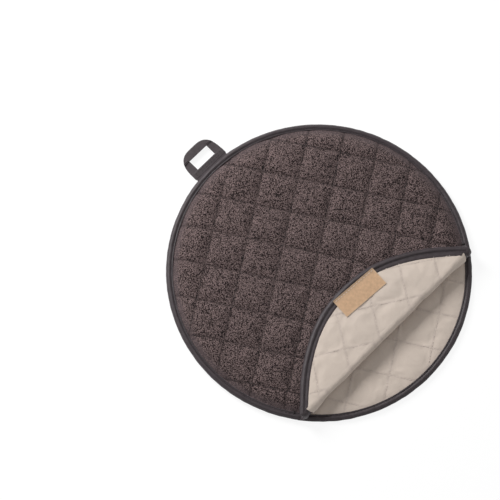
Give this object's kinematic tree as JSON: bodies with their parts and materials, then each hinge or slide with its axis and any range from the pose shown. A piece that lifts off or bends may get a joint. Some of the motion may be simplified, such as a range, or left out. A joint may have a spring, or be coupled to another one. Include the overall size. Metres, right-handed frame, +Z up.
{
  "type": "tortilla warmer",
  "caption": "Round quilted cloth warmer: two padded discs bound together at the rim, with a mouth, a fold-over flap, a hanging loop and a blank care tag.",
  "frame": {"origin": "centre of the disc on the flat of the underside, where the warmer rests", "axes": "+Z up through the layers, the mouth and its flap towards -Y, the hanging loop towards +Y"},
  "size_m": [0.305, 0.3332, 0.0215],
  "materials": {
    "terry": "napped cotton terry",
    "lining": "matt woven lining",
    "batting": "needled fibre batting",
    "tape": "woven binding tape with a slight sheen",
    "thread": "spun thread",
    "pale_thread": "spun thread",
    "tag": "plain woven label"
  },
  "bodies": {
    "pouch": {"bottom_terry": "terry", "bottom_batting": "batting", "bottom_lining": "lining", "bottom_quilting": "thread", "top_terry": "terry", "top_batting": "batting", "top_lining": "lining", "top_quilting": "thread", "rim_binding": "tape", "mouth_binding": "tape", "rim_stitches": "thread", "mouth_stitches": "thread", "corner_tacks": "thread"},
    "flap": {"flap_terry": "terry", "flap_batting": "batting", "flap_lining": "lining", "flap_quilting": "pale_thread", "flap_binding": "tape", "flap_stitches": "thread", "fold_cloth": "lining", "fold_binding": "tape", "care_tag": "tag", "tag_stitches": "pale_thread"},
    "loop": {"hanging_loop": "tape", "loop_stitches": "thread"}
  },
  "joints": [
    {"name": "flap_fold", "type": "hinge", "parent": "pouch", "child": "flap", "pos_m": [0, -0.091, 0.0138], "axis": [1, 0, 0], "range_deg": [0, 179], "deforming": ["fold_cloth", "fold_binding"]},
    {"name": "loop_turn", "type": "hinge", "parent": "pouch", "child": "loop", "pos_m": [0, 0.1537, 0.0042], "axis": [1, 0, 0], "range_deg": [-90, 90]}
  ]
}
